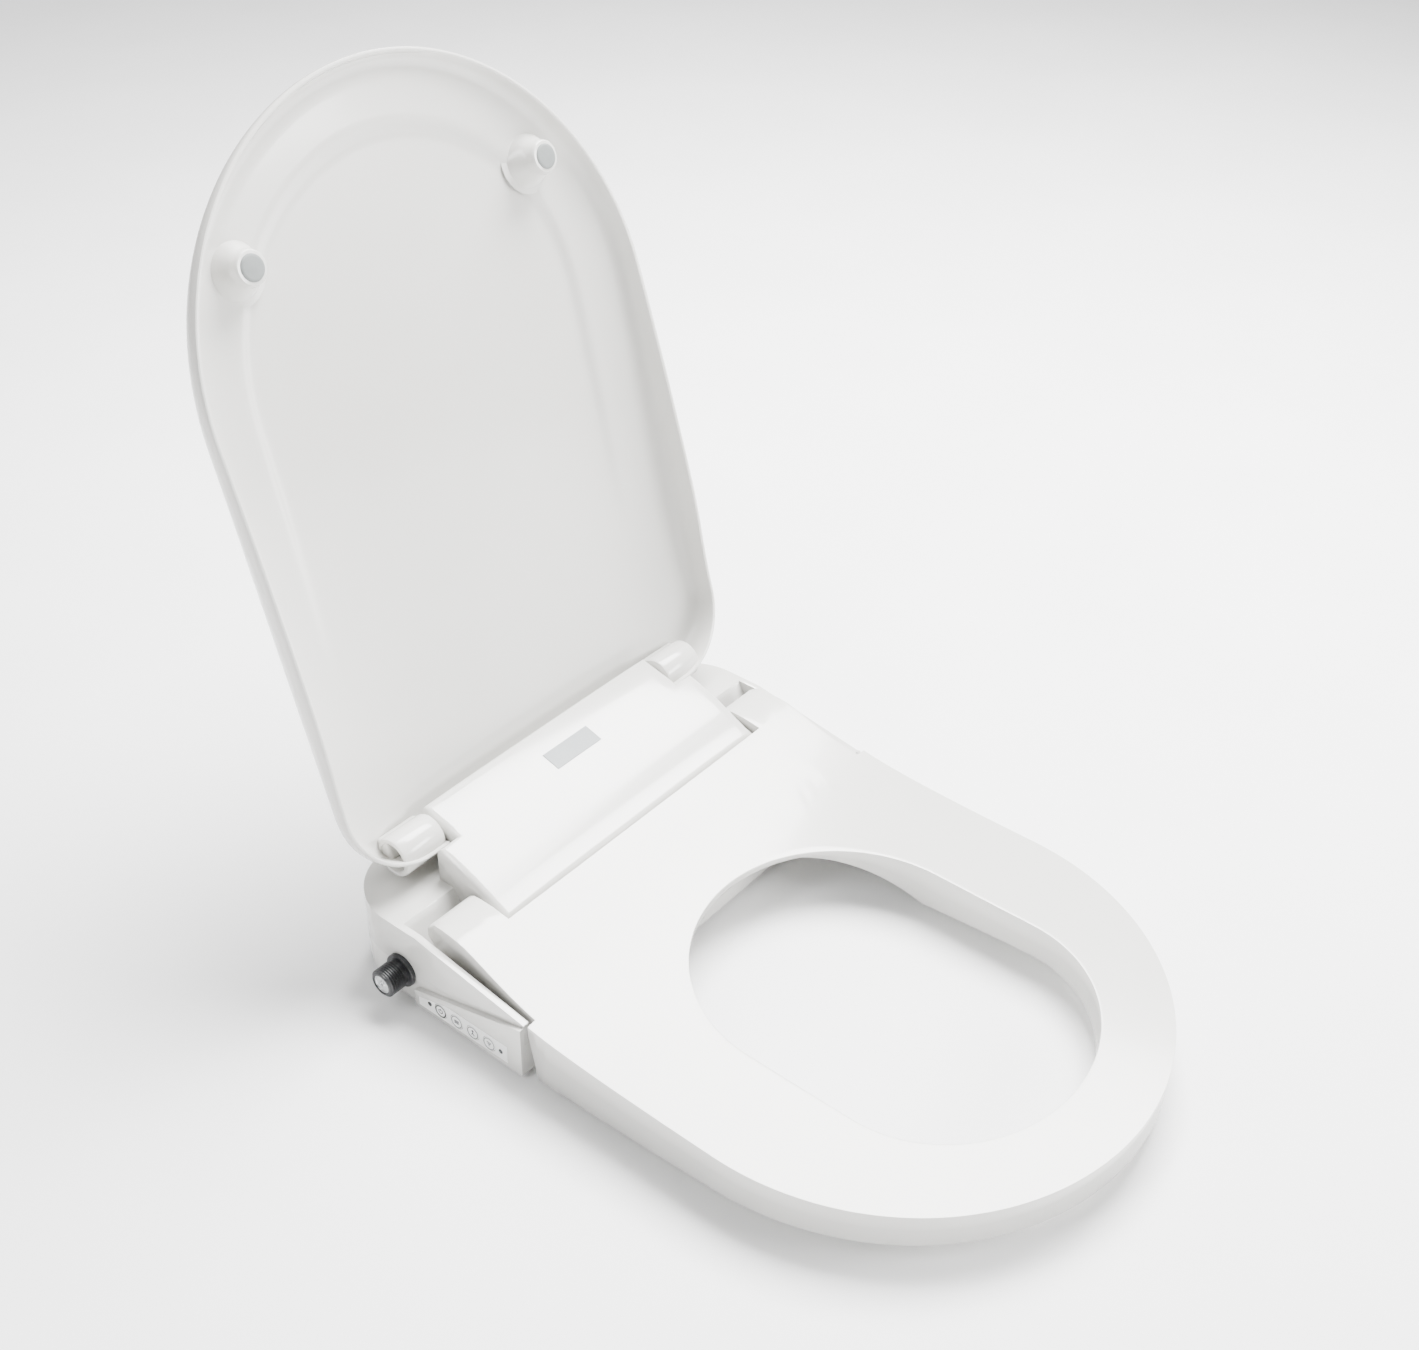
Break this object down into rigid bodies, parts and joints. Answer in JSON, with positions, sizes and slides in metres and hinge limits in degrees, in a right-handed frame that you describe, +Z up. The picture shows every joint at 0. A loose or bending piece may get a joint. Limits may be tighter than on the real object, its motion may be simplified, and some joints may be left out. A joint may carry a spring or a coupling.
{
  "type": "electric bidet seat",
  "caption": "Electric bidet seat with an elongated ring, raised lid, sloped rear housing, side buttons and side water inlet.",
  "frame": {"origin": "midway between the two bowl bolt slots, on the underside of the mounting plate", "axes": "+Z up, -Y to the front of the seat, -X to the side with the buttons and the water inlet"},
  "size_m": [0.397, 0.6472, 0.561],
  "materials": {
    "black_plastic": "black glass-filled nylon",
    "board": "green circuit board",
    "copper": "coil and heater winding",
    "foil": "heater foil",
    "grey_window": "smoked grey sensor window",
    "hose": "silicone hose",
    "inner_plastic": "natural moulded inner plastic",
    "label_film": null,
    "lens": "dark LED lens",
    "rubber_grey": "grey soft buffer",
    "rubber_white": "white soft buffer",
    "steel": "stainless steel",
    "white_abs": "glossy moulded white ABS",
    "white_pp": "glossy moulded white seat plastic"
  },
  "bodies": {
    "base": {"base_feet": "rubber_white", "base_tray": "white_abs", "board_components": "black_plastic", "board_posts": "inner_plastic", "button_board": "board", "button_label": "label_film", "control_board": "board", "dryer_heater": "copper", "dryer_housing": "inner_plastic", "dryer_motor": "steel", "hinge_brackets": "inner_plastic", "housing_screws": "steel", "inlet_filter": "steel", "inlet_valve": "inner_plastic", "led_lenses": "lens", "lid_dampers": "inner_plastic", "mains_gland": "black_plastic", "mounting_plate": "white_abs", "nozzle_guide": "inner_plastic", "nozzle_motor": "steel", "plate_rails": "white_abs", "power_supply": "steel", "seat_dampers": "inner_plastic", "sensor_board": "board", "sensor_window": "grey_window", "side_panel": "white_abs", "side_trim": "white_abs", "supply_hose": "hose", "top_cover": "white_abs", "upper_housing": "white_abs", "valve_coil": "copper", "wash_hose": "hose", "water_heater": "inner_plastic", "water_inlet": "black_plastic"},
    "lid": {"lid_shell": "white_abs", "lid_buffers": "rubber_grey", "lid_hinge_pins": "steel"},
    "seat": {"seat_top": "white_pp", "seat_base": "white_pp", "seat_heater": "foil", "seat_buffers": "rubber_white", "seat_hinge_pins": "steel"},
    "nozzle": {"wash_nozzle": "steel", "nozzle_tip": "steel"},
    "pinion": {"nozzle_pinion": "inner_plastic"},
    "nozzle_flap": {"nozzle_door": "white_abs"},
    "dryer_flap": {"dryer_door": "white_abs"},
    "fan": {"dryer_fan": "inner_plastic"},
    "plunger": {"valve_plunger": "steel"},
    "release": {"release_button": "white_abs"},
    "power_key": {"button_power": "white_abs"},
    "rear_wash_key": {"button_rear_wash": "white_abs"},
    "front_wash_key": {"button_front_wash": "white_abs"},
    "dryer_key": {"button_dryer": "white_abs"}
  },
  "joints": [
    {"name": "lid_hinge", "type": "hinge", "parent": "base", "child": "lid", "pos_m": [0, 0.041, 0.085], "axis": [-1, 0, 0], "range_deg": [-111, 0]},
    {"name": "seat_hinge", "type": "hinge", "parent": "base", "child": "seat", "pos_m": [0, -0.02, 0.061], "axis": [-1, 0, 0], "range_deg": [0, 100]},
    {"name": "nozzle_slide", "type": "slide", "parent": "base", "child": "nozzle", "axis": [0, -0.9781, -0.2079], "range_m": [0, 0.06]},
    {"name": "pinion_spin", "type": "hinge", "parent": "base", "child": "pinion", "pos_m": [-0.003, -0.02584, 0.03297], "axis": [0, -0.2079, 0.9781], "range_deg": [-535, 535]},
    {"name": "nozzle_flap_hinge", "type": "hinge", "parent": "base", "child": "nozzle_flap", "pos_m": [-0.018, -0.1065, 0.037], "axis": [-1, 0, 0], "range_deg": [0, 95.1]},
    {"name": "dryer_flap_hinge", "type": "hinge", "parent": "base", "child": "dryer_flap", "pos_m": [0.028, -0.1065, 0.037], "axis": [-1, 0, 0], "range_deg": [0, 85]},
    {"name": "fan_spin", "type": "hinge", "parent": "base", "child": "fan", "pos_m": [0.028, 0.004, 0.0405], "axis": [1, 0, 0], "continuous": true},
    {"name": "plunger_slide", "type": "slide", "parent": "base", "child": "plunger", "axis": [1, 0, 0], "range_m": [0, 0.0025], "stiffness_N_per_m": 400},
    {"name": "release_press", "type": "slide", "parent": "base", "child": "release", "axis": [-1, 0, 0], "range_m": [0, 0.004], "stiffness_N_per_m": 500},
    {"name": "power_press", "type": "slide", "parent": "base", "child": "power_key", "axis": [1, 0, 0], "range_m": [0, 0.0008], "stiffness_N_per_m": 1500},
    {"name": "rear_wash_press", "type": "slide", "parent": "base", "child": "rear_wash_key", "axis": [1, 0, 0], "range_m": [0, 0.0008], "stiffness_N_per_m": 1500},
    {"name": "front_wash_press", "type": "slide", "parent": "base", "child": "front_wash_key", "axis": [1, 0, 0], "range_m": [0, 0.0008], "stiffness_N_per_m": 1500},
    {"name": "dryer_press", "type": "slide", "parent": "base", "child": "dryer_key", "axis": [1, 0, 0], "range_m": [0, 0.0008], "stiffness_N_per_m": 1500}
  ],
  "couplings": [
    {"joint": "pinion_spin", "follows": "nozzle_slide", "rad_per_m": 142.86},
    {"joint": "nozzle_flap_hinge", "follows": "nozzle_slide", "rad_per_m": 27.634}
  ]
}
